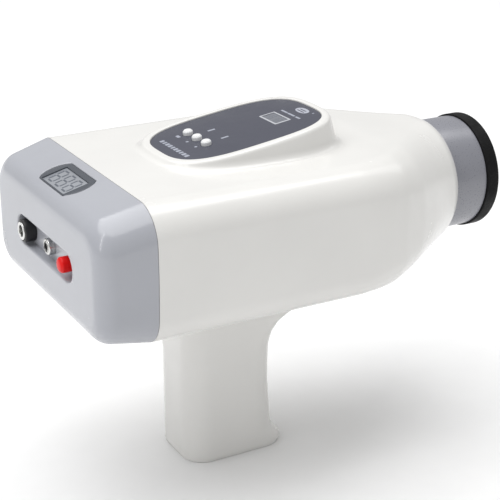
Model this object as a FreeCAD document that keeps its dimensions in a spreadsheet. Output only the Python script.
"""Hand-held dental X-ray unit, built as an assembly of separate pieces.

Frame: millimetres, +X along the X-ray beam, +Z up, origin at the centre of the
grip's flat foot.  Y is the operator's left when looking along the beam.
"""
import FreeCAD, Part
import math
import os
import Sketcher
from FreeCAD import Placement, Rotation, Vector

# Driving dimensions: the cells of the sheet called Sizes.
DIMENSIONS = (
    # housing shell
    ("wall", 2.8),
    ("body_half_width", 74.0),
    ("body_top", 168.3),
    ("body_bottom", 98.5),
    ("body_corner", 16.5),
    ("joint_x", -66.7),
    ("nose_start", 50.0),
    ("nose_end", 132.0),
    ("neck_radius", 35.8),
    ("beam_height", 132.5),
    # grip
    ("grip_rear", -26.4),
    ("grip_front", 25.0),
    ("grip_half_width", 21.5),
    ("grip_corner", 12.5),
    ("toe_front", 33.0),
    ("base_thick", 2.2),
    # control panel on its wedge-shaped boss
    ("panel_x", 12.7),
    ("panel_z", 176.9),
    ("panel_tilt", 8.1),
    ("panel_half_length", 43.2),
    ("panel_half_width", 29.5),
    ("panel_corner", 23.0),
    ("panel_rim", 5.0),
    ("panel_bead", 0.6),
    ("overlay_thick", 1.2),
    ("keypad_drop", 6.0),
    ("board_thick", 1.6),
    ("panel_button_radius", 2.7),
    ("panel_button_pitch", 10.2),
    ("panel_button_x", -21.8),
    ("panel_button_y", 2.0),
    ("display_x", 21.9),
    ("display_y", -2.0),
    ("display_half_length", 4.8),
    ("display_half_width", 8.6),
    # rear cover
    ("cover_rear", -94.2),
    ("cover_half_width", 69.0),
    ("cover_top", 161.2),
    ("cover_bottom", 102.5),
    ("cover_wall", 2.6),
    ("cover_round", 8.0),
    ("recess_height", 131.8),
    ("recess_half_length", 36.3),
    ("recess_radius", 7.4),
    ("recess_depth", 4.7),
    ("charge_y", 27.0),
    ("jack_y", 0.0),
    ("power_y", -25.5),
    ("meter_x", -80.2),
    ("meter_half_width", 15.6),
    ("meter_bow", 20.0),
    ("meter_half_length", 9.1),
    # cone
    ("cone_radius", 31.0),
    ("cone_bore", 27.0),
    ("spigot_radius", 29.0),
    ("spigot_rear", 111.0),
    ("liner_thick", 1.4),
    ("ring_rear", 152.7),
    ("ring_front", 161.0),
    ("ring_radius", 32.0),
    # tube head
    ("tank_rear", -4.0),
    ("tank_front", 58.0),
    ("tank_half_width", 60.0),
    ("tank_low", 104.0),
    ("tank_high", 161.0),
    ("tank_wall", 3.0),
    ("tube_x", 34.0),
    ("port_radius", 14.0),
    # battery and boards
    ("cell_radius", 9.2),
    ("cell_length", 65.0),
    ("cell_pitch", 19.2),
    ("battery_x", -39.0),
    ("battery_z", 101.2),
    ("side_board_y", 54.0),
    # trigger
    ("trigger_height", 51.0),
    ("trigger_half_width", 6.0),
    ("trigger_half_height", 11.0),
    ("trigger_proud", 2.3),
)

doc = FreeCAD.newDocument("dental_xray_unit")
sheet = doc.addObject("Spreadsheet::Sheet", "Sizes")
for row, (alias, number) in enumerate(DIMENSIONS, start=1):
    sheet.set(f"A{row}", alias)
    sheet.set(f"B{row}", str(number))
    sheet.setAlias(f"B{row}", alias)
doc.recompute()

NODES = {}


# ---------------------------------------------------------------- sizes
class Size:
    """A length known both as a number and as an expression on the sheet."""

    def __init__(self, value, text):
        self.value = value
        self.text = text

    def __add__(self, other):
        return Size(self.value + amount(other), f"({self.text} + {text_of(other)})")

    def __radd__(self, other):
        return Size(amount(other) + self.value, f"({text_of(other)} + {self.text})")

    def __sub__(self, other):
        return Size(self.value - amount(other), f"({self.text} - {text_of(other)})")

    def __rsub__(self, other):
        return Size(amount(other) - self.value, f"({text_of(other)} - {self.text})")

    def __mul__(self, other):
        return Size(self.value * amount(other), f"({self.text} * {text_of(other)})")

    __rmul__ = __mul__

    def __neg__(self):
        return Size(-self.value, f"(0 - {self.text})")


class Sizes:
    """Every driving dimension as an attribute."""


def amount(size):
    return size.value if isinstance(size, Size) else float(size)


def text_of(size):
    return size.text if isinstance(size, Size) else repr(float(size))


s = Sizes()
for alias, number in DIMENSIONS:
    setattr(s, alias, Size(number, f"Sizes.{alias}"))


def bind(thing, name, size):
    """Give a property its value and, for a sheet size, its expression."""
    setattr(thing, name, amount(size))
    if isinstance(size, Size):
        thing.setExpression(name, size.text)


def place(thing, x, y, z, turn=None):
    """Put an object at (x, y, z), turned by a Rotation, its place bound to the sheet."""
    thing.Placement = Placement(Vector(amount(x), amount(y), amount(z)), turn or Rotation())
    for letter, size in zip("xyz", (x, y, z)):
        if isinstance(size, Size):
            thing.setExpression(f"Placement.Base.{letter}", size.text)
    return thing


def keep(thing, name):
    """Name a finished piece; its label becomes its file name."""
    thing.Label = name
    NODES[name] = thing
    return thing


# ---------------------------------------------------------------- Part solids
TURN_TO = {
    "x": Rotation(Vector(0, 1, 0), 90),
    "y": Rotation(Vector(1, 0, 0), -90),
    "z": Rotation(),
}


def box(x, y, z, name="Box"):
    """A block between two limits along each axis."""
    block = doc.addObject("Part::Box", name)
    for side, (low, high) in zip(("Length", "Width", "Height"), (x, y, z)):
        bind(block, side, high - low)
    return place(block, x[0], y[0], z[0])


def rod(axis, radius, span, centre, name="Rod"):
    """A cylinder along one axis; centre gives its other two coordinates in order."""
    cylinder = doc.addObject("Part::Cylinder", name)
    bind(cylinder, "Radius", radius)
    bind(cylinder, "Height", span[1] - span[0])
    where = list(centre)
    where.insert("xyz".index(axis), span[0])
    return place(cylinder, *where, TURN_TO[axis])


def join(parts, name="Join"):
    fused = doc.addObject("Part::MultiFuse", name)
    fused.Shapes = parts
    return fused


def cut(base, tools, name="Cut"):
    difference = doc.addObject("Part::Cut", name)
    difference.Base = base
    difference.Tool = tools[0] if len(tools) == 1 else join(tools)
    return difference


def group(parts, name="Group"):
    """Several separate solids that share one node."""
    together = doc.addObject("Part::Compound", name)
    together.Links = parts
    return together


def tube(axis, outer, inner, span, centre):
    bore = rod(axis, inner, (span[0] - 1, span[1] + 1), centre)
    return cut(rod(axis, outer, span, centre), [bore])


def rounded(base, radius, pick=lambda edge: True):
    """Round the edges of a Part solid that pick accepts."""
    doc.recompute()
    fillet = doc.addObject("Part::Fillet", "Rounded")
    fillet.Base = base
    edges = base.Shape.Edges
    fillet.Edges = [(i + 1, radius, radius) for i, edge in enumerate(edges) if pick(edge)]
    return fillet


# ---------------------------------------------------------------- sketches
def fix(sketch, kind, index, size):
    """Hold one start point at a distance from the sketch's origin."""
    axis = {"DistanceX": -2, "DistanceY": -1}[kind]
    if amount(size) == 0:
        sketch.addConstraint(Sketcher.Constraint("PointOnObject", index, 1, axis))
        return
    number = sketch.addConstraint(Sketcher.Constraint(kind, index, 1, amount(size)))
    if isinstance(size, Size):
        sketch.setExpression(f"Constraints[{number}]", size.text)


def new_sketch(body, plane, offset=0, name="Sketch"):
    """A sketch on one of its body's own origin planes, moved along the plane's normal."""
    sketch = body.newObject("Sketcher::SketchObject", name)
    origin_plane = next(f for f in body.Origin.OriginFeatures if f.Role == plane)
    sketch.AttachmentSupport = [(origin_plane, "")]
    sketch.MapMode = "FlatFace"
    sketch.AttachmentOffset = Placement(Vector(0, 0, amount(offset)), Rotation())
    if isinstance(offset, Size):
        sketch.setExpression("AttachmentOffset.Base.z", offset.text)
    return sketch


def draw_outline(sketch, corners):
    """A closed outline of straight edges through the given corners."""
    first = sketch.GeometryCount
    points = [Vector(amount(x), amount(y), 0) for x, y in corners]
    count = len(points)
    for index in range(count):
        sketch.addGeometry(Part.LineSegment(points[index], points[(index + 1) % count]), False)
    for index in range(count):
        following = first + (index + 1) % count
        sketch.addConstraint(Sketcher.Constraint("Coincident", first + index, 2, following, 1))
    for index, (x, y) in enumerate(corners):
        fix(sketch, "DistanceX", first + index, x)
        fix(sketch, "DistanceY", first + index, y)
    return sketch


def draw_rounded(sketch, x, y, radius):
    """A rectangle between limits x and y, with round corners."""
    first = sketch.GeometryCount
    left, right = amount(x[0]), amount(x[1])
    low, high = amount(y[0]), amount(y[1])
    bend = amount(radius)
    centres = ((right - bend, low + bend), (right - bend, high - bend),
               (left + bend, high - bend), (left + bend, low + bend))
    for quarter, (cx, cy) in enumerate(centres):
        start = math.radians(90 * quarter - 90)
        circle = Part.Circle(Vector(cx, cy, 0), Vector(0, 0, 1), bend)
        sketch.addGeometry(Part.ArcOfCircle(circle, start, start + math.pi / 2), False)
    for quarter in range(4):
        arc = sketch.Geometry[first + quarter]
        next_arc = sketch.Geometry[first + (quarter + 1) % 4]
        sketch.addGeometry(Part.LineSegment(arc.EndPoint, next_arc.StartPoint), False)
    for quarter in range(4):
        line = first + 4 + quarter
        following = first + (quarter + 1) % 4
        sketch.addConstraint(Sketcher.Constraint("Tangent", first + quarter, 2, line, 1))
        sketch.addConstraint(Sketcher.Constraint("Tangent", line, 2, following, 1))
        level = "Vertical" if quarter % 2 == 0 else "Horizontal"
        sketch.addConstraint(Sketcher.Constraint(level, line))
    for quarter in range(1, 4):
        sketch.addConstraint(Sketcher.Constraint("Equal", first, first + quarter))
    number = sketch.addConstraint(Sketcher.Constraint("Radius", first, bend))
    if isinstance(radius, Size):
        sketch.setExpression(f"Constraints[{number}]", radius.text)
    fix(sketch, "DistanceX", first + 4, x[1])
    fix(sketch, "DistanceY", first + 5, y[1])
    fix(sketch, "DistanceX", first + 6, x[0])
    fix(sketch, "DistanceY", first + 7, y[0])
    return sketch


def draw_circle(sketch, radius, x=0, y=0):
    index = sketch.GeometryCount
    circle = Part.Circle(Vector(amount(x), amount(y), 0), Vector(0, 0, 1), amount(radius))
    sketch.addGeometry(circle, False)
    number = sketch.addConstraint(Sketcher.Constraint("Radius", index, amount(radius)))
    if isinstance(radius, Size):
        sketch.setExpression(f"Constraints[{number}]", radius.text)
    for kind, size, axis in (("DistanceX", x, -2), ("DistanceY", y, -1)):
        if amount(size) == 0:
            sketch.addConstraint(Sketcher.Constraint("PointOnObject", index, 3, axis))
            continue
        number = sketch.addConstraint(Sketcher.Constraint(kind, index, 3, amount(size)))
        if isinstance(size, Size):
            sketch.setExpression(f"Constraints[{number}]", size.text)
    return sketch


# ---------------------------------------------------------------- PartDesign features
def new_body(name):
    return keep(doc.addObject("PartDesign::Body", name), name)


def pad(body, sketch, length, backwards=False):
    feature = body.newObject("PartDesign::Pad", "Pad")
    feature.Profile = sketch
    bind(feature, "Length", length)
    feature.Reversed = backwards
    return feature


def pocket(body, sketch, length, backwards=False):
    """Cut a sketch into its body, and make sure that it really removed something."""
    doc.recompute()
    before = body.Shape.Volume
    feature = body.newObject("PartDesign::Pocket", "Pocket")
    feature.Profile = sketch
    bind(feature, "Length", length)
    feature.Reversed = backwards
    doc.recompute()
    if body.Shape.Volume > before - 0.1:
        raise RuntimeError(f"a pocket in {body.Label} cuts nothing")
    return feature


def loft(body, sections, kind="Additive", straight=False):
    feature = body.newObject(f"PartDesign::{kind}Loft", f"{kind}Loft")
    feature.Profile = sections[0]
    feature.Sections = sections[1:]
    feature.Ruled = straight
    return feature


def dress(body, kind, pick, size):
    """Fillet or Chamfer the edges of a body whose bounding box pick accepts."""
    doc.recompute()
    base = body.Tip
    edges = enumerate(base.Shape.Edges, start=1)
    names = [f"Edge{number}" for number, edge in edges if pick(edge.BoundBox)]
    feature = body.newObject(f"PartDesign::{kind}", kind)
    feature.Base = (base, names)
    bind(feature, "Radius" if kind == "Fillet" else "Size", size)
    return feature


def turned(name, outline, axis="x"):
    """A body turned round its own X or Z axis from an outline of (along, radius)."""
    body = new_body(name)
    sketch = new_sketch(body, "XZ_Plane")
    corners = outline if axis == "x" else [(radius, along) for along, radius in outline]
    draw_outline(sketch, corners)
    feature = body.newObject("PartDesign::Revolution", "Revolution")
    feature.Profile = sketch
    feature.ReferenceAxis = (sketch, ["H_Axis" if axis == "x" else "V_Axis"])
    feature.Angle = 360
    return body


def washer(rear, front, inner, outer):
    """Turned outline of a plain ring between two stations."""
    return [(rear, inner), (rear, outer), (front, outer), (front, inner)]


def on_beam(body):
    """Move a turned body onto the beam's axis."""
    return place(body, 0, 0, s.beam_height)


# ---------------------------------------------------------------- housing
# Screws that hold the rear cover, from under the housing.
COVER_SCREW_X = 6.0
COVER_SCREW_Y = 48.0
# Screws of the grip's foot plate.
BASE_SCREW_X = 15.0

# Plan outline of the nose: (share of the way from nose_start to nose_end, half-width, corner radius).
NOSE_SECTIONS = (
    (0.00, 74.0, 16.5),
    (0.10, 73.4, 17.5),
    (0.25, 71.2, 20.0),
    (0.42, 65.8, 26.0),
    (0.58, 58.6, 31.2),
    (0.70, 52.4, 34.0),
    (0.80, 46.4, 34.6),
    (0.93, 39.2, 34.8),
)

# Outline of the grip at rising heights: (height, front limit, rear limit, half-width).
GRIP_SECTIONS = (
    (2.2, 33.0, -26.2, 21.4),
    (5.0, 32.2, -26.4, 21.5),
    (8.5, 29.2, -26.4, 21.5),
    (12.5, 27.0, -26.4, 21.5),
    (26.0, 25.8, -26.4, 21.5),
    (50.0, 25.0, -26.4, 21.5),
    (60.0, 25.6, -26.6, 21.6),
    (67.5, 27.9, -27.0, 21.9),
    (73.5, 33.0, -27.6, 22.3),
    (80.0, 42.0, -28.8, 23.2),
    (87.0, 49.5, -30.8, 24.8),
    (93.0, 52.0, -33.4, 27.0),
    (98.5, 52.5, -36.6, 29.6),
)


def nose_section(body, station, shrink):
    """One cross-section of the nose, its half-width and half-height less the shrink."""
    share, half_width, corner = station
    along = s.nose_start + share * (s.nose_end - s.nose_start)
    sketch = new_sketch(body, "YZ_Plane", along)
    blend = min(1.0, share / 0.7)
    top = s.body_top.value + blend * (s.beam_height.value + s.neck_radius.value - s.body_top.value)
    low = s.body_bottom.value - blend * (s.body_bottom.value - s.beam_height.value + s.neck_radius.value)
    side = half_width - shrink
    radius = max(4.0, corner - shrink)
    draw_rounded(sketch, (-side, side), (low + shrink, top - shrink), radius)
    return sketch


def round_section(body, along, radius):
    """A nearly round section of the same make-up as the nose's others."""
    sketch = new_sketch(body, "YZ_Plane", along)
    half = radius + 0.4
    limits = (s.beam_height.value - half, s.beam_height.value + half)
    return draw_rounded(sketch, (-half, half), limits, radius)


def body_section(body, along, inset):
    sketch = new_sketch(body, "YZ_Plane", along)
    side = s.body_half_width - inset
    corner = s.body_corner - inset
    return draw_rounded(sketch, (-side, side), (s.body_bottom + inset, s.body_top - inset), corner)


def grip_section(body, station):
    height, front, rear, half_width = station
    sketch = new_sketch(body, "XY_Plane", height)
    return draw_rounded(sketch, (rear, front), (-half_width, half_width), s.grip_corner)


def panel_placement(x=0, y=0, lift=0):
    """A placement on the sloping panel: x and y along it, lift along its normal."""
    turn = Rotation(Vector(0, 1, 0), -s.panel_tilt.value)
    centre = Vector(s.panel_x.value, 0, s.panel_z.value)
    return Placement(centre + turn.multVec(Vector(amount(x), amount(y), amount(lift))), turn)


def tilted(sketch, lift=0):
    """Lay a sketch on the sloping panel's plane, lifted along its normal."""
    sketch.AttachmentOffset = panel_placement(lift=lift)
    return sketch


def panel_outline(sketch, grow):
    """The panel's rounded outline about its own centre, grown or shrunk all round."""
    length = s.panel_half_length + grow
    width = s.panel_half_width + grow
    return draw_rounded(sketch, (-length, length), (-width, width), s.panel_corner + grow)


def boss_loft(body, inset, kind):
    """The wedge boss from inside the roof up to the sloping panel."""
    foot = new_sketch(body, "XY_Plane", s.body_top - 4.5)
    spread = s.panel_rim + 3.0 - inset
    centre = s.panel_x
    reach = s.panel_half_length + spread
    width = s.panel_half_width + spread
    draw_rounded(foot, (centre - reach, centre + reach), (-width, width), s.panel_corner + spread)
    crown = tilted(new_sketch(body, "XY_Plane"), s.panel_bead - inset)
    panel_outline(crown, s.panel_rim - inset)
    return loft(body, [foot, crown], kind, straight=True)


def cover_screw_holes(body):
    """Countersunk holes in the floor for the two screws that hold the rear cover."""
    for radius, depth in ((1.5, 8.0), (2.8, 1.3)):
        holes = new_sketch(body, "XY_Plane", s.body_bottom - 1.0)
        for y in (-COVER_SCREW_Y, COVER_SCREW_Y):
            draw_circle(holes, radius, s.joint_x + COVER_SCREW_X, y)
        pocket(body, holes, depth + 1.0, backwards=True)


def main_housing():
    """White shell of the body and nose, with the wedge boss that carries the panel."""
    body = new_body("main_housing")
    shell = body_section(body, s.joint_x, 0)
    pad(body, shell, s.nose_start - s.joint_x)
    outer = [nose_section(body, station, 0) for station in NOSE_SECTIONS]
    outer.append(round_section(body, s.nose_end - 2.2, s.neck_radius - 1.6))
    outer.append(round_section(body, s.nose_end, s.neck_radius - 3.4))
    loft(body, outer)
    boss_loft(body, 0, "Additive")

    hollow = body_section(body, s.joint_x, s.wall)
    pocket(body, hollow, s.nose_start - s.joint_x, backwards=True)
    inner = [nose_section(body, station, s.wall.value) for station in NOSE_SECTIONS[:7]]
    inner.append(round_section(body, s.nose_end - 12.0, s.neck_radius - s.wall - 0.6))
    loft(body, inner, "Subtractive")
    neck = new_sketch(body, "YZ_Plane", s.nose_end - 14.0)
    draw_circle(neck, s.spigot_radius + 0.15, 0, s.beam_height)
    pocket(body, neck, 20.0, backwards=True)
    cable_way = new_sketch(body, "XY_Plane", s.body_bottom - 1.0)
    draw_rounded(cable_way, (-12.0, 20.0), (-10.0, 10.0), 5.0)
    pocket(body, cable_way, s.wall + 2.0, backwards=True)

    boss_loft(body, s.wall.value, "Subtractive")
    seat = tilted(new_sketch(body, "XY_Plane"), 1.0)
    panel_outline(seat, 0.15)
    pocket(body, seat, s.overlay_thick + 1.05)
    window = tilted(new_sketch(body, "XY_Plane"), 1.0)
    panel_outline(window, -3.0)
    pocket(body, window, 8.0)
    cover_screw_holes(body)
    return body


def trigger_span(grow):
    """Lowest and highest points of the exposure button, grown by a margin."""
    tall = s.trigger_half_height + grow
    return (s.trigger_height - tall, s.trigger_height + tall)


def foot_screw_ribs(body):
    """Two ribs across the grip, bored for the foot plate's screws."""
    ribs = new_sketch(body, "XY_Plane", s.base_thick + 5.0)
    reach = s.grip_half_width - 1.0
    for x in (-BASE_SCREW_X, BASE_SCREW_X):
        draw_rounded(ribs, (x - 3.0, x + 3.0), (-reach, reach), 0.6)
    pad(body, ribs, 5.0)
    bores = new_sketch(body, "XY_Plane", s.base_thick)
    for x in (-BASE_SCREW_X, BASE_SCREW_X):
        draw_circle(bores, 1.1, x, 0)
    pocket(body, bores, 12.0, backwards=True)


def grip_housing():
    """White shell of the grip, bonded to the flat underside of the body."""
    body = new_body("grip_housing")
    loft(body, [grip_section(body, station) for station in GRIP_SECTIONS], straight=True)
    room = new_sketch(body, "XY_Plane", s.base_thick - 1.0)
    reach = s.wall + 0.2
    draw_rounded(room, (s.grip_rear + reach, s.grip_front - reach),
                 (-s.grip_half_width + reach, s.grip_half_width - reach), s.grip_corner - reach)
    pocket(body, room, s.body_bottom + s.wall, backwards=True)
    trigger_hole = new_sketch(body, "YZ_Plane", s.grip_front - 8.0)
    gap = 0.35
    half = s.trigger_half_width + gap
    draw_rounded(trigger_hole, (-half, half), trigger_span(gap), half - 0.6)
    pocket(body, trigger_hole, 16.0, backwards=True)
    foot_screw_ribs(body)
    return body


main_housing()
grip_housing()


# ---------------------------------------------------------------- rear cover and its fittings
def cover_section(body, share, inset):
    """One cross-section of the rear cover, between the joint and its rear face."""
    along = s.joint_x + share * (s.cover_rear - s.joint_x)
    sketch = new_sketch(body, "YZ_Plane", along)
    side = s.body_half_width + share * (s.cover_half_width - s.body_half_width) - inset
    high = s.body_top + share * (s.cover_top - s.body_top) - inset
    low = s.body_bottom + share * (s.cover_bottom - s.body_bottom) + inset
    return draw_rounded(sketch, (-side, side), (low, high), s.body_corner - inset)


def draw_recess(sketch, shrink):
    """The long recess for the sockets, as a rounded slot."""
    half = s.recess_half_length - shrink
    radius = s.recess_radius - shrink
    limits = (s.recess_height - radius, s.recess_height + radius)
    return draw_rounded(sketch, (-half, half), limits, radius - 0.05)


def meter_slope():
    """Slope of the cover's top facet, in degrees."""
    return math.degrees(math.atan2(s.body_top.value - s.cover_top.value,
                                   s.joint_x.value - s.cover_rear.value))


def meter_placement(lift):
    """A placement on the cover's sloping top facet, lifted along its normal."""
    slope = meter_slope()
    turn = Rotation(Vector(0, 1, 0), -slope)
    height = s.body_top.value - (s.joint_x.value - s.meter_x.value) * math.tan(math.radians(slope))
    centre = Vector(s.meter_x.value, 0, height)
    return Placement(centre + turn.multVec(Vector(0, 0, lift)), turn)


def draw_meter(sketch, grow):
    """The battery meter's outline: straight along the cover, with bowed ends."""
    length = (s.meter_half_length + grow).value
    width = (s.meter_half_width + grow).value
    bow = (s.meter_bow + grow).value
    for end in (-1, 1):
        first = Vector(end * length, -end * width, 0)
        second = Vector(end * length, end * width, 0)
        third = Vector(-end * length, end * width, 0)
        sketch.addGeometry(Part.LineSegment(first, second))
        sketch.addGeometry(Part.Arc(second, Vector(0, end * bow, 0), third))
    return sketch


def cover_tab(body, middle):
    """A tongue that reaches from the cover over the housing's floor, for one screw."""
    side = new_sketch(body, "XZ_Plane", -middle - 6.0)
    floor = s.body_bottom + s.wall
    draw_outline(side, [
        (s.joint_x - 6.0, floor - 1.0), (s.joint_x - 0.2, floor - 1.0), (s.joint_x - 0.2, floor + 0.2),
        (s.joint_x + 11.0, floor + 0.2), (s.joint_x + 11.0, floor + 4.2), (s.joint_x - 6.0, floor + 4.2)])
    pad(body, side, 12.0)


def rear_cover():
    """Grey cover that closes the back of the housing."""
    body = new_body("rear_cover")
    loft(body, [cover_section(body, 0.0, 0), cover_section(body, 1.0, 0)], straight=True)
    rear = s.cover_rear.value
    dress(body, "Fillet", lambda bounds: bounds.XMax < rear + 0.1, s.cover_round)
    loft(body, [cover_section(body, 0.0, s.cover_wall), cover_section(body, 0.72, s.cover_wall)],
         "Subtractive", straight=True)
    inner_room = new_sketch(body, "YZ_Plane", s.cover_rear + s.recess_depth + s.cover_wall)
    inner_half = s.cover_half_width - 8.0
    draw_rounded(inner_room, (-inner_half, inner_half), (s.cover_bottom + 8.0, s.cover_top - 12.0), 6.0)
    pocket(body, inner_room, 12.0, backwards=True)
    slot = draw_recess(new_sketch(body, "YZ_Plane", s.cover_rear), 0)
    pocket(body, slot, s.recess_depth, backwards=True)
    holes = new_sketch(body, "YZ_Plane", s.cover_rear)
    draw_circle(holes, 5.0, s.charge_y, s.recess_height)
    draw_circle(holes, 3.1, s.jack_y, s.recess_height)
    draw_circle(holes, 4.35, s.power_y, s.recess_height)
    pocket(body, holes, 12.0, backwards=True)
    seat = new_sketch(body, "XY_Plane")
    seat.AttachmentOffset = meter_placement(2.0)
    draw_meter(seat, 0)
    pocket(body, seat, 8.0)
    for middle in (-COVER_SCREW_Y, COVER_SCREW_Y):
        cover_tab(body, middle)
    screw_holes = new_sketch(body, "XY_Plane", s.body_bottom)
    for y in (-COVER_SCREW_Y, COVER_SCREW_Y):
        draw_circle(screw_holes, 1.25, s.joint_x + COVER_SCREW_X, y)
    pocket(body, screw_holes, 12.0, backwards=True)
    return body


def flat_plate(name, length, width, corner, low, high):
    """A plate with rounded corners about its own centre."""
    body = new_body(name)
    sketch = new_sketch(body, "XY_Plane", low)
    draw_rounded(sketch, (-length, length), (-width, width), corner)
    pad(body, sketch, high - low)
    return body


def battery_meter():
    """Dark frame and display of the battery meter."""
    frame = new_body("meter_frame")
    outline = new_sketch(frame, "XY_Plane", -3.4)
    draw_meter(outline, -0.2)
    draw_rounded(outline, (-7.2, 7.2), (-13.2, 13.2), 0.8)
    pad(frame, outline, 2.9)
    frame.Placement = meter_placement(0)
    glass = flat_plate("meter_display", 7.0, 13.0, 0.6, -3.2, -1.2)
    glass.Placement = meter_placement(0)


def at_cover(body, y):
    """Move a turned fitting, drawn forward from the cover's rear face, to its hole."""
    return place(body, s.cover_rear, y, s.recess_height)


def charge_socket():
    """Round charging socket: black barrel, metal sleeve, centre pin and nut."""
    floor = s.recess_depth
    wall = s.cover_wall
    barrel = turned("charge_socket_body", [
        (-1.4, 4.9), (-1.4, 6.0), (floor - 0.05, 6.0), (floor - 0.05, 4.8), (floor + 9.0, 4.8),
        (floor + 9.0, 0.9), (floor + 7.0, 0.9), (floor + 7.0, 3.9), (-0.6, 3.9), (-0.6, 4.9)])
    at_cover(barrel, s.charge_y)
    sleeve = turned("charge_socket_sleeve", [
        (-1.9, 3.0), (-1.9, 4.8), (-0.7, 4.8), (-0.7, 3.8), (floor + 6.0, 3.8), (floor + 6.0, 3.0)])
    at_cover(sleeve, s.charge_y)
    pin = turned("charge_socket_pin", [
        (1.2, 0.0), (0.6, 0.6), (0.8, 0.9), (floor + 6.8, 0.9), (floor + 12.0, 0.7), (floor + 12.0, 0.0)])
    at_cover(pin, s.charge_y)
    nut = turned("charge_socket_nut", [(floor + wall + 0.1, 4.9), (floor + wall + 0.1, 7.0),
                                       (floor + wall + 2.6, 7.0), (floor + wall + 2.6, 4.9)])
    at_cover(nut, s.charge_y)


def handswitch_jack():
    """3.5 mm jack for the wired hand switch, with its round nut."""
    floor = s.recess_depth
    wall = s.cover_wall
    barrel = turned("handswitch_jack", [
        (1.0, 1.8), (1.0, 2.9), (floor + wall + 1.0, 2.9), (floor + wall + 1.0, 4.6), (floor + 14.0, 4.6),
        (floor + 14.0, 0.0), (floor + 11.0, 0.0), (floor + 11.0, 1.8)])
    at_cover(barrel, s.jack_y)
    nut = turned("handswitch_jack_nut", [
        (1.2, 2.95), (1.2, 3.6), (1.9, 4.3), (floor - 0.05, 4.3), (floor - 0.05, 2.95)])
    at_cover(nut, s.jack_y)


def power_button():
    """Red push button, the switch behind it and its spring."""
    floor = s.recess_depth
    wall = s.cover_wall
    cap = turned("power_button", [
        (-2.6, 0.0), (-2.5, 2.4), (-2.0, 3.4), (-1.0, 3.95), (floor + wall + 0.6, 3.95),
        (floor + wall + 0.6, 5.2), (floor + wall + 1.6, 5.2), (floor + wall + 1.6, 2.6),
        (floor + wall - 1.0, 2.6), (floor + wall - 1.0, 0.0)])
    at_cover(cap, s.power_y)
    depth = floor + wall
    spring = turned("power_button_spring", washer(depth + 1.9, depth + 3.6, 1.3, 2.0))
    at_cover(spring, s.power_y)
    base = s.cover_rear + depth + 3.8
    half = 5.5
    block = box((base, base + 9.0), (s.power_y - half, s.power_y + half),
                (s.recess_height - half, s.recess_height + half))
    keep(block, "power_switch")


rear_cover()
battery_meter()
charge_socket()
handswitch_jack()
power_button()


# ---------------------------------------------------------------- control panel
# Small fasteners that several boards share, collected as the boards are made.
SPACERS = []
SCREWS = []
KEYPAD_SCREWS = [(x, y) for x in (-30.0, 30.0) for y in (-18.0, 18.0)]


def small_screw(placement):
    """A pan-head board screw whose shank rises along the placement's own Z from its head."""
    shank = rod("z", 1.0, (-0.1, 5.0), (0, 0), "Shank")
    head = rod("z", 1.9, (-1.4, -0.05), (0, 0), "Head")
    screw = join([shank, head], "Screw")
    screw.Placement = placement
    return screw


BUTTON_NAMES = ("panel_button_left", "panel_button_middle", "panel_button_right")
BUTTON_STEPS = (1, 0, -1)


def button_y(step):
    """Place across the panel of one button of the row."""
    return s.panel_button_y + step * s.panel_button_pitch


def panel_overlay():
    """Dark overlay plate with holes for the buttons and the display."""
    body = new_body("panel_overlay")
    plate = panel_outline(new_sketch(body, "XY_Plane", -s.overlay_thick), 0)
    for step in BUTTON_STEPS:
        draw_circle(plate, s.panel_button_radius + 0.25, s.panel_button_x, button_y(step))
    length = s.display_half_length
    width = s.display_half_width
    draw_rounded(plate, (s.display_x - length, s.display_x + length),
                 (s.display_y - width, s.display_y + width), 0.6)
    pad(body, plate, s.overlay_thick)
    body.Placement = panel_placement()


def panel_buttons():
    """Three domed push buttons whose flanges sit under the overlay."""
    radius = s.panel_button_radius
    under = -s.overlay_thick
    for name, step in zip(BUTTON_NAMES, BUTTON_STEPS):
        body = turned(name, [
            (2.6, 0.0), (2.5, radius - 1.2), (2.1, radius - 0.4), (1.5, radius), (under - 0.15, radius),
            (under - 0.15, radius + 1.0), (under - 0.95, radius + 1.0), (under - 0.95, 0.0)], axis="z")
        body.Placement = panel_placement(s.panel_button_x, button_y(step))


def keypad():
    """Board under the panel, its three switches and the exposure display."""
    drop = -s.keypad_drop
    board = new_body("keypad_board")
    outline = new_sketch(board, "XY_Plane", drop - s.board_thick)
    draw_rounded(outline, (-34.0, 34.0), (-22.0, 22.0), 3.0)
    for x, y in KEYPAD_SCREWS:
        draw_circle(outline, 1.15, x, y)
    pad(board, outline, s.board_thick)
    board.Placement = panel_placement()
    switches = []
    for step in BUTTON_STEPS:
        case = box((-3.0, 3.0), (-3.0, 3.0), (0, 2.2), "SwitchCase")
        dome = rod("z", 1.6, (2.1, 2.9), (0, 0), "SwitchPlunger")
        switch = join([case, dome], "TactSwitch")
        switch.Placement = panel_placement(s.panel_button_x, button_y(step), drop.value + 0.02)
        switches.append(switch)
    keep(group(switches), "keypad_switches")
    length = s.display_half_length
    width = s.display_half_width
    screen = flat_plate("exposure_display", length + 1.2, width + 1.2, 0.8, 0.1, 3.1)
    screen.Placement = panel_placement(s.display_x, s.display_y, drop.value)
    pane = flat_plate("display_window", length - 0.15, width - 0.15, 0.5, -1.0, -0.1)
    pane.Placement = panel_placement(s.display_x, s.display_y)
    for x, y in KEYPAD_SCREWS:
        spacer = tube("z", 2.4, 1.05, (0.05, s.keypad_drop - s.overlay_thick - 0.05), (0, 0))
        spacer.Placement = panel_placement(x, y, drop.value)
        SPACERS.append(spacer)
        SCREWS.append(small_screw(panel_placement(x, y, (drop - s.board_thick).value)))


panel_overlay()
panel_buttons()
keypad()


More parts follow.
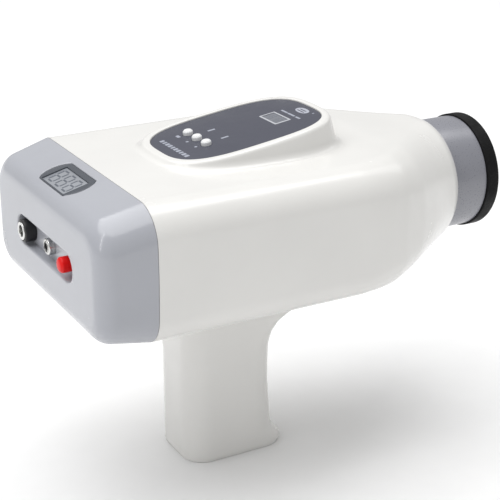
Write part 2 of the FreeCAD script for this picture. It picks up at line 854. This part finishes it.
# ---------------------------------------------------------------- cone and beam path
def cone_parts():
    """Grey cone, its lead liner, the rubber end ring and the nut that clamps it."""
    tongue = s.ring_rear + 4.0
    cone = turned("cone", [
        (s.spigot_rear, s.cone_bore), (tongue, s.cone_bore), (tongue, s.cone_radius - 1.6),
        (s.ring_rear, s.cone_radius - 1.6), (s.ring_rear, s.cone_radius),
        (s.nose_end + 0.05, s.cone_radius), (s.nose_end + 0.05, s.spigot_radius),
        (s.spigot_rear, s.spigot_radius)])
    on_beam(cone)
    liner_outer = s.cone_bore - 0.05
    liner_inner = liner_outer - s.liner_thick
    liner = turned("cone_liner", washer(s.spigot_rear + 1.0, tongue, liner_inner, liner_outer))
    on_beam(liner)
    ring = turned("cone_end_ring", [
        (s.ring_rear + 0.05, s.cone_radius - 1.55), (tongue + 0.05, s.cone_radius - 1.55),
        (tongue + 0.05, liner_inner), (s.ring_front - 1.0, liner_inner), (s.ring_front, liner_inner + 1.0),
        (s.ring_front, s.ring_radius - 1.2), (s.ring_front - 1.2, s.ring_radius),
        (s.ring_rear + 0.65, s.ring_radius), (s.ring_rear + 0.05, s.ring_radius - 0.6)])
    on_beam(ring)
    nut_rear = s.nose_end - 20.0
    nut = turned("cone_lock_ring", washer(nut_rear, nut_rear + 5.8, s.spigot_radius + 0.05,
                                          s.spigot_radius + 3.0))
    on_beam(nut)


def beam_filter():
    """Holder behind the cone with the aluminium filter and the lead diaphragm."""
    back = s.spigot_rear - 7.1
    holder = turned("filter_holder", [
        (back, 18.2), (back + 1.5, 18.2), (back + 1.5, 24.4), (back + 3.6, 24.4), (back + 3.6, 26.4),
        (back + 7.0, 26.4), (back + 7.0, 29.0), (back, 29.0)])
    on_beam(holder)
    metal = turned("aluminium_filter", washer(back + 1.55, back + 3.55, 0.0, 24.3))
    on_beam(metal)
    plate = turned("lead_diaphragm", [
        (back + 3.7, 14.0), (back + 3.7, 26.3), (back + 6.7, 26.3), (back + 6.7, 20.0)])
    on_beam(plate)
    pipe = turned("beam_tube", washer(s.tank_front + 0.1, back - 0.1, s.port_radius + 1.0,
                                      s.port_radius + 4.0))
    on_beam(pipe)


# ---------------------------------------------------------------- tube head
def tank():
    """Oil tank with its rear lid, lid screws, beam port and the pads it stands on."""
    side = s.tank_half_width
    shell = box((s.tank_rear, s.tank_front), (-side, side), (s.tank_low, s.tank_high))
    room = box((s.tank_rear - 1, s.tank_front - s.tank_wall), (-side + s.tank_wall, side - s.tank_wall),
               (s.tank_low + s.tank_wall, s.tank_high - s.tank_wall))
    port = rod("x", s.port_radius, (s.tank_front - 5, s.tank_front + 1), (0, s.beam_height))
    seat = rod("x", s.port_radius + 2.0, (s.tank_front - 1.6, s.tank_front + 1), (0, s.beam_height))
    rounded_shell = rounded(shell, 5.0, lambda edge: edge.BoundBox.XLength > 60.0)
    keep(cut(rounded_shell, [room, port, seat]), "tank_body")
    window = rod("x", s.port_radius + 1.9, (s.tank_front - 1.5, s.tank_front), (0, s.beam_height))
    keep(window, "tank_window")
    lid_rear = s.tank_rear - 3.0
    lid = box((lid_rear, s.tank_rear - 0.05), (-side, side), (s.tank_low, s.tank_high))
    keep(lid, "tank_lid")
    screws = []
    for y in (-56.0, -19.0, 19.0, 56.0):
        for z in (s.tank_low + 3.0, s.tank_high - 3.0):
            screws.append(rod("x", 2.4, (lid_rear - 1.6, lid_rear - 0.02), (y, z)))
    keep(group(screws), "tank_lid_screws")
    floor = s.body_bottom + s.wall
    pads = [box((x - 8.0, x + 8.0), (y - 8.0, y + 8.0), (floor + 0.05, s.tank_low - 0.05))
            for x in (8.0, 46.0) for y in (-46.0, 46.0)]
    keep(group(pads), "tank_pads")


def xray_tube():
    """Glass tube lying across the beam, with its cathode and its copper anode."""
    height = s.beam_height
    glass = new_body("tube_glass")
    outline = [(6.0, -42.0), (10.0, -42.0), (10.0, -30.0), (15.0, -22.0), (15.0, 22.0), (10.0, 30.0),
               (10.0, 40.0), (8.3, 40.0), (8.3, 29.4), (13.6, 21.4), (13.6, -21.4), (8.6, -29.4),
               (8.6, -40.6), (6.0, -40.6)]
    draw_outline(new_sketch(glass, "XY_Plane"), outline)
    turn = glass.newObject("PartDesign::Revolution", "Revolution")
    turn.Profile = glass.Group[0]
    turn.ReferenceAxis = (glass.Group[0], ["V_Axis"])
    turn.Angle = 360
    place(glass, s.tube_x, 0, height)
    copper = rod("y", 8.0, (2.0, 46.0), (s.tube_x, height))
    bevel = box((-20.0, 20.0), (-12.0, 0.0), (-20.0, 20.0))
    bevel_tool = doc.addObject("Part::Compound", "Bevel")
    bevel_tool.Links = [bevel]
    target = Vector(s.tube_x.value, 4.4, height.value)
    bevel_tool.Placement = Placement(target, Rotation(Vector(0, 0, 1), -20))
    keep(cut(copper, [bevel_tool]), "tube_anode")
    groove = box((s.tube_x - 1.2, s.tube_x + 1.2), (-16.0, -13.0), (height - 4.0, height + 4.0))
    stepped = rod("y", 5.8, (-46.0, -14.0), (s.tube_x, height))
    keep(cut(stepped, [groove]), "tube_cathode")
    clamps = []
    foot = s.tank_low + s.tank_wall + 0.1
    for y in (-52.0, 46.2):
        post = box((s.tube_x - 12.0, s.tube_x + 12.0), (y, y + 5.8), (foot, height + 12.0))
        clamps.append(rounded(post, 3.0, lambda edge: (edge.BoundBox.YLength > 5.0
                                                       and edge.BoundBox.ZMin > 140)))
    keep(group(clamps), "tube_clamps")


def transformer():
    """High-voltage transformer: a window core with its winding, and the multiplier board."""
    rear = s.tank_rear + 1.0
    depth = 14.0
    frame = box((rear, rear + depth), (-52.0, -12.0), (109.0, 157.0))
    room = box((rear - 1, rear + depth + 1), (-43.0, -21.0), (118.0, 148.0))
    keep(cut(frame, [room]), "transformer_core")
    coil = box((rear + 0.5, rear + depth + 3.5), (-55.9, -39.5), (119.0, 147.0))
    leg = box((rear - 0.1, rear + depth + 0.1), (-52.1, -42.9), (117.0, 149.0))
    keep(cut(coil, [leg]), "transformer_winding")
    board = box((rear + 1.0, rear + 2.6), (6.0, 54.0), (109.0, 156.0))
    keep(board, "multiplier_board")
    stages = []
    for row in range(4):
        z = 115.0 + 11.5 * row
        for y in (16.0, 30.0, 44.0):
            stages.append(rod("x", 4.4, (rear + 2.65, rear + 9.0), (y, z)))
    keep(group(stages), "multiplier_capacitors")


cone_parts()
beam_filter()
tank()
xray_tube()
transformer()


# ---------------------------------------------------------------- battery, boards and trigger
def battery():
    """Four cells lying across the housing in a tray, with their joining strips."""
    half = s.cell_length * 0.5
    radius = s.cell_radius
    low = s.battery_z + 0.4
    cells = []
    strips = []
    for column in (-0.5, 0.5):
        x = s.battery_x + column * s.cell_pitch
        for row in range(2):
            z = low + 1.6 + radius + row * s.cell_pitch
            cells.append(rod("y", radius, (-half, half), (x, z)))
        for end in (-1, 1):
            y = end * (half + 0.25)
            strips.append(box((x - 3.5, x + 3.5), (y - 0.2, y + 0.2),
                              (low + radius - 3.0, low + radius + s.cell_pitch + 6.0)))
    keep(group(cells), "battery_cells")
    keep(group(strips), "battery_strips")
    outside = s.cell_pitch + 1.6
    inside = s.cell_pitch + 0.1
    tray = box((s.battery_x - outside, s.battery_x + outside), (-half - 3.0, half + 3.0), (low, low + 24.0))
    room = box((s.battery_x - inside, s.battery_x + inside), (-half - 1.2, half + 1.2),
               (low + 1.5, low + 30.0))
    keep(cut(tray, [room]), "battery_tray")


def side_board(name, side, length):
    """A circuit board standing along one side wall, on four spacers with screws."""
    inner = side * s.side_board_y
    outer = inner + side * s.board_thick
    limits = (inner, outer) if side > 0 else (outer, inner)
    rear = -62.0
    board = box((rear, rear + length), limits, (108.0, 156.0))
    wall_gap = (outer + side * 0.05, side * (s.body_half_width - s.wall - 0.1))
    span = wall_gap if side > 0 else (wall_gap[1], wall_gap[0])
    outward = Rotation(Vector(1, 0, 0), -90 * side)
    holes = []
    for x in (rear + 4.0, rear + length - 4.0):
        for z in (119.0, 146.0):
            SPACERS.append(tube("y", 3.0, 1.3, span, (x, z)))
            SCREWS.append(small_screw(Placement(Vector(x, inner.value, z), outward)))
            holes.append(rod("y", 1.15, (limits[0] - 1, limits[1] + 1), (x, z)))
    keep(cut(board, holes), name)


def board_components():
    """The larger components on the inner faces of the two side boards."""
    face = s.side_board_y - 0.05
    capacitors = [rod("y", 6.3, (face - 15.0, face), (x, 118.0)) for x in (-47.0, -32.0)]
    keep(group(capacitors), "power_capacitors")
    fins = [box((-54.0 + 4.0 * fin, -52.4 + 4.0 * fin), (face - 10.0, face - 2.2), (134.0, 152.0))
            for fin in range(9)]
    back = box((-54.0, -20.4), (face - 2.4, face), (134.0, 152.0))
    keep(join([back] + fins), "heat_sink")
    buzzer = tube("y", 7.0, 1.2, (-face, -face + 7.0), (-48.0, 140.0))
    keep(buzzer, "buzzer")


def trigger():
    """Exposure button on the front of the grip, with its switch and spring."""
    half = s.trigger_half_width
    inside = s.grip_front - s.wall - 0.2
    body = new_body("trigger_button")
    face = new_sketch(body, "YZ_Plane", inside - 1.2)
    draw_rounded(face, (-half, half), trigger_span(0), half - 0.8)
    pad(body, face, s.grip_front + s.trigger_proud - inside + 1.2)
    front = amount(s.grip_front + s.trigger_proud)
    dress(body, "Fillet", lambda bounds: bounds.XMin > front - 0.1, 2.0)
    flange = new_sketch(body, "YZ_Plane", inside - 2.4)
    draw_rounded(flange, (-half - 1.6, half + 1.6), trigger_span(1.6), half + 0.6)
    pad(body, flange, 1.6)
    heights = (s.trigger_height - 7.0, s.trigger_height + 7.0)
    case = box((inside - 16.0, inside - 6.4), (-4.0, 4.0), heights)
    ears = box((inside - 18.0, inside - 16.0), (-18.0, 18.0), heights)
    keep(join([case, ears]), "trigger_switch")
    spring = tube("x", 2.0, 1.3, (inside - 6.3, inside - 4.7), (0, s.trigger_height))
    keep(spring, "trigger_spring")


def grip_base():
    """Foot plate of the grip with its two countersunk screws."""
    body = new_body("grip_base_plate")
    outline = new_sketch(body, "XY_Plane")
    front = s.toe_front - 1.0
    draw_rounded(outline, (s.grip_rear + 0.4, front), (-s.grip_half_width + 0.3, s.grip_half_width - 0.3),
                 s.grip_corner)
    pad(body, outline, s.base_thick - 0.1)
    dress(body, "Chamfer", lambda bounds: bounds.ZMax < 0.1, 0.8)
    holes = new_sketch(body, "XY_Plane")
    for x in (-BASE_SCREW_X, BASE_SCREW_X):
        draw_circle(holes, 1.7, x, 0)
    pocket(body, holes, 4.0, backwards=True)
    screws = []
    for x in (-BASE_SCREW_X, BASE_SCREW_X):
        head = doc.addObject("Part::Cone", "ScrewHead")
        head.Radius1 = 1.6
        head.Radius2 = 1.1
        head.Height = 1.0
        place(head, x, 0, 0.3)
        shank = rod("z", 1.1, (1.2, 9.0), (x, 0))
        screws.append(join([head, shank], "BaseScrew"))
    keep(group(screws), "grip_base_screws")


def cover_screws():
    """Two countersunk screws that hold the rear cover from below."""
    screws = []
    for y in (-COVER_SCREW_Y, COVER_SCREW_Y):
        head = rod("z", 2.6, (s.body_bottom + 0.1, s.body_bottom + 1.2), (s.joint_x + COVER_SCREW_X, y))
        shank = rod("z", 1.2, (s.body_bottom + 1.1, s.body_bottom + 6.8), (s.joint_x + COVER_SCREW_X, y))
        screws.append(join([head, shank], "CoverScrew"))
    keep(group(screws), "cover_screws")


# ---------------------------------------------------------------- wiring
def lead(points, radius):
    """A round cable along straight runs joined by arcs as large as the runs allow."""
    corners = [Vector(*point) for point in points]
    edges = []
    last = corners[0]
    for before, corner, after in zip(corners, corners[1:], corners[2:]):
        back = (before - corner)
        ahead = (after - corner)
        reach = 0.45 * min(back.Length, ahead.Length)
        back.normalize()
        ahead.normalize()
        start = corner + back * reach
        finish = corner + ahead * reach
        opening = back.getAngle(ahead)
        bend = reach * math.tan(opening / 2)
        middle_way = back + ahead
        middle_way.normalize()
        centre = corner + middle_way * (bend / math.sin(opening / 2))
        middle = centre - middle_way * bend
        edges.append(Part.LineSegment(last, start).toShape())
        edges.append(Part.Arc(start, middle, finish).toShape())
        last = finish
    edges.append(Part.LineSegment(last, corners[-1]).toShape())
    spine = Part.Wire(edges)
    ring = Part.makeCircle(radius, corners[0], corners[1] - corners[0])
    cable = doc.addObject("Part::Feature", "Lead")
    cable.Shape = spine.makePipeShell([Part.Wire([ring])], True, False)
    return cable


# Route of each lead, from its first terminal to its last.
LEAD_ROUTES = (
    # battery to power board
    (1.5, ((-29.4, 33.1, 136.0), (-29.4, 40.0, 136.0), (-38.0, 45.0, 131.0), (-40.0, 49.0, 130.0),
           (-40.0, 53.8, 130.0))),
    # power board to tank lid
    (1.5, ((-17.5, 53.8, 127.0), (-17.5, 46.0, 127.0), (-14.0, 38.0, 127.0), (-7.2, 37.0, 127.0))),
    # trigger switch up the grip and along the floor to the charge board
    (1.1, ((12.0, 0.0, 58.2), (12.0, 0.0, 78.0), (7.0, 0.0, 95.0), (-3.0, -4.0, 102.6), (-13.0, -14.0, 102.6),
           (-13.5, -32.0, 103.5), (-18.0, -44.0, 109.0), (-26.0, -48.5, 113.0), (-26.0, -53.8, 113.0))),
    # hand-switch jack to charge board
    (1.1, ((-75.3, 0.0, 131.8), (-69.5, 0.0, 131.8), (-65.5, -12.0, 130.5), (-64.5, -30.0, 128.0),
           (-58.0, -44.0, 125.0), (-50.0, -48.5, 124.0), (-50.0, -53.8, 124.0))),
    # charge socket to power board
    (1.3, ((-77.3, 27.0, 131.8), (-70.0, 27.0, 131.8), (-64.5, 36.0, 131.0), (-58.0, 45.0, 129.5),
           (-54.0, 49.0, 129.0), (-54.0, 53.8, 129.0))),
    # power switch to charge board
    (1.1, ((-73.9, -25.5, 129.0), (-69.0, -26.0, 129.0), (-65.5, -36.0, 122.0), (-58.0, -45.0, 115.0),
           (-50.0, -48.5, 113.0), (-50.0, -53.8, 113.0))),
    # battery meter to charge board
    (1.0, ((-80.0, -6.0, 159.4), (-73.0, -14.0, 156.0), (-66.0, -28.0, 153.0), (-60.0, -41.0, 151.5),
           (-54.0, -48.5, 151.0), (-54.0, -53.8, 151.0))),
    # keypad board to charge board
    (1.0, ((-9.5, -12.0, 165.4), (-11.0, -14.5, 161.8), (-20.0, -30.0, 156.0), (-27.0, -43.0, 150.0),
           (-28.0, -48.5, 148.0), (-28.0, -53.8, 148.0))),
)


def wiring():
    leads = []
    for radius, points in LEAD_ROUTES:
        leads.append(lead(points, radius))
    keep(group(leads), "wiring")


battery()
side_board("power_board", 1, 48.0)
side_board("charge_board", -1, 48.0)
board_components()
trigger()
grip_base()
cover_screws()
wiring()
keep(group(SPACERS), "board_spacers")
keep(group(SCREWS), "board_screws")


# ---------------------------------------------------------------- check and write
def check_document():
    """Stop if any object failed or any piece has a null or invalid shape."""
    doc.recompute()
    for thing in doc.Objects:
        if "Invalid" in thing.State or "Error" in thing.State:
            raise RuntimeError(f"{thing.Label} failed: {thing.State}")
    for name, thing in NODES.items():
        if thing.Shape.isNull() or not thing.Shape.isValid():
            raise RuntimeError(f"{name} has no valid shape")


def write_parts():
    os.makedirs("parts", exist_ok=True)
    for name, thing in NODES.items():
        thing.Shape.exportStep(os.path.join("parts", f"{name}.step"))


check_document()
write_parts()
print(f"{len(NODES)} pieces written")
